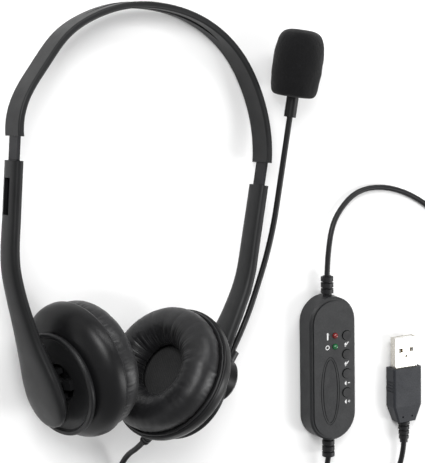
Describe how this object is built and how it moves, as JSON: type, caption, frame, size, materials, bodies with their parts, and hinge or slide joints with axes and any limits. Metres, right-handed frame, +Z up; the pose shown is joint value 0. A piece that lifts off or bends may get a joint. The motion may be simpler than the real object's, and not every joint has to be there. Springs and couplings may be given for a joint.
{
  "type": "office headset",
  "caption": "Wired stereo office headset with a swinging boom microphone, in-line control box with keys and indicator lights, and a USB plug on a coiled cable.",
  "frame": {"origin": "centre of the bottom of the headset as it lies on a table, cable and what is on it left out", "axes": "+Z up from the table and towards the wearer's face side, +Y towards the crown of the headband, +X towards the microphone side"},
  "size_m": [0.279, 0.2708, 0.0603],
  "materials": {
    "band_plastic": "satin moulded nylon, near black",
    "strip_steel": "spring steel strip, black satin coating",
    "arm_plastic": "satin moulded plastic, charcoal",
    "liner_plastic": "matte moulded plastic, charcoal",
    "shell_plastic": "semi-gloss moulded plastic, near black",
    "dish_plastic": "satin grey-black outer cap",
    "leatherette": "soft wrinkled leatherette over foam",
    "inner_plastic": "plain moulded plastic",
    "magnet_steel": "plated magnet pot",
    "diaphragm_film": "thin clear film",
    "ear_cloth": "fine open black cloth",
    "screw_steel": "black zinc steel",
    "gland_rubber": "moulded strain relief",
    "boom_plastic": "satin black tube and hub",
    "mic_parts": "open cage",
    "mic_metal": "capsule can",
    "foam": "open-cell black foam",
    "box_plastic": "fine spark-eroded texture, dark grey",
    "oval_plastic": "fine textured plate",
    "button_rubber": "soft-touch keys",
    "led_red_lens": "red tinted lens",
    "led_green_lens": "green tinted lens",
    "board_green": "circuit board",
    "chip_black": "chip and tactile switches",
    "plug_nickel": "nickel-plated folded shell",
    "plug_plastic": "slate-grey overmould",
    "tongue_white": "white insulator",
    "contact_gold": "gold-plated contacts",
    "cord_rubber": "smooth soft cable jacket"
  },
  "bodies": {
    "cup_right": {"cup_shell_right": "shell_plastic", "cup_dish_right": "dish_plastic", "ear_cushion_right": "leatherette", "driver_plate_right": "inner_plastic", "driver_frame_right": "inner_plastic", "driver_magnet_right": "magnet_steel", "driver_diaphragm_right": "diaphragm_film", "ear_cloth_right": "ear_cloth", "cup_screws_right": "screw_steel", "cable_gland": "gland_rubber", "case_back": "box_plastic", "case_front": "box_plastic", "case_screws": "screw_steel", "oval_plate": "oval_plastic", "control_board": "board_green", "board_components": "chip_black", "led_red": "led_red_lens", "led_green": "led_green_lens", "case_boots": "gland_rubber", "plug_shell": "plug_nickel", "plug_mould": "plug_plastic", "plug_tongue": "tongue_white", "plug_contacts": "contact_gold", "plug_boot": "gland_rubber", "cord_from_cup": "cord_rubber", "cord_to_box": "cord_rubber", "cord_from_box": "cord_rubber", "cord_to_plug": "cord_rubber", "cord_coil_cup": "cord_rubber", "cord_coil_plug": "cord_rubber"},
    "pivot_right": {"pivot_block_right": "inner_plastic"},
    "arm_right": {"arm_cover_right": "arm_plastic", "arm_liner_right": "liner_plastic", "arm_foot_right": "arm_plastic"},
    "boom": {"boom_hub": "boom_plastic", "boom_hub_screw": "screw_steel", "boom_tube": "boom_plastic", "mic_neck": "boom_plastic", "mic_cage": "mic_parts", "mic_capsule": "mic_metal", "windscreen": "foam"},
    "headband": {"headband": "band_plastic", "slider_strips": "strip_steel"},
    "arm_left": {"arm_cover_left": "arm_plastic", "arm_liner_left": "liner_plastic", "arm_foot_left": "arm_plastic"},
    "pivot_left": {"pivot_block_left": "inner_plastic"},
    "cup_left": {"cup_shell_left": "shell_plastic", "cup_dish_left": "dish_plastic", "ear_cushion_left": "leatherette", "driver_plate_left": "inner_plastic", "driver_frame_left": "inner_plastic", "driver_magnet_left": "magnet_steel", "driver_diaphragm_left": "diaphragm_film", "ear_cloth_left": "ear_cloth", "cup_screws_left": "screw_steel"},
    "button_1": {"button_1": "button_rubber"},
    "button_2": {"button_2": "button_rubber"},
    "button_3": {"button_3": "button_rubber"},
    "button_4": {"button_4": "button_rubber"}
  },
  "joints": [
    {"name": "cup_tilt_right", "type": "hinge", "parent": "cup_right", "child": "pivot_right", "pos_m": [0.02641, -0.07378, 0.02726], "axis": [-0.3212, -0.0438, -0.946], "range_deg": [0, 4.5]},
    {"name": "cup_swivel_right", "type": "hinge", "parent": "pivot_right", "child": "arm_right", "pos_m": [0.02641, -0.07378, 0.02726], "axis": [0.3285, 0.9318, -0.1546], "range_deg": [-4, 18]},
    {"name": "boom_swing", "type": "hinge", "parent": "arm_right", "child": "boom", "pos_m": [0.0195, -0.05973, 0.02609], "axis": [0.9395, -0.3391, -0.0476], "range_deg": [0, 130]},
    {"name": "band_slide_right", "type": "slide", "parent": "arm_right", "child": "headband", "axis": [0.0489, 0.9922, -0.1149], "range_m": [-0.0095, 0.004]},
    {"name": "band_slide_left", "type": "slide", "parent": "headband", "child": "arm_left", "axis": [0.0703, -0.9922, 0.1032], "range_m": [-0.0095, 0.014]},
    {"name": "cup_swivel_left", "type": "hinge", "parent": "arm_left", "child": "pivot_left", "pos_m": [-0.03927, -0.07378, 0.0337], "axis": [-0.3523, 0.9318, -0.0879], "range_deg": [-14, 6]},
    {"name": "cup_tilt_left", "type": "hinge", "parent": "pivot_left", "child": "cup_left", "pos_m": [-0.03927, -0.07378, 0.0337], "axis": [0.2254, 0.1756, 0.9583], "range_deg": [-4.5, 0]},
    {"name": "button_1_press", "type": "slide", "parent": "cup_right", "child": "button_1", "axis": [0, 0, -1], "range_m": [0, 0.00035], "stiffness_N_per_m": 400},
    {"name": "button_2_press", "type": "slide", "parent": "cup_right", "child": "button_2", "axis": [0, 0, -1], "range_m": [0, 0.00035], "stiffness_N_per_m": 400},
    {"name": "button_3_press", "type": "slide", "parent": "cup_right", "child": "button_3", "axis": [0, 0, -1], "range_m": [0, 0.00035], "stiffness_N_per_m": 400},
    {"name": "button_4_press", "type": "slide", "parent": "cup_right", "child": "button_4", "axis": [0, 0, -1], "range_m": [0, 0.00035], "stiffness_N_per_m": 400}
  ]
}
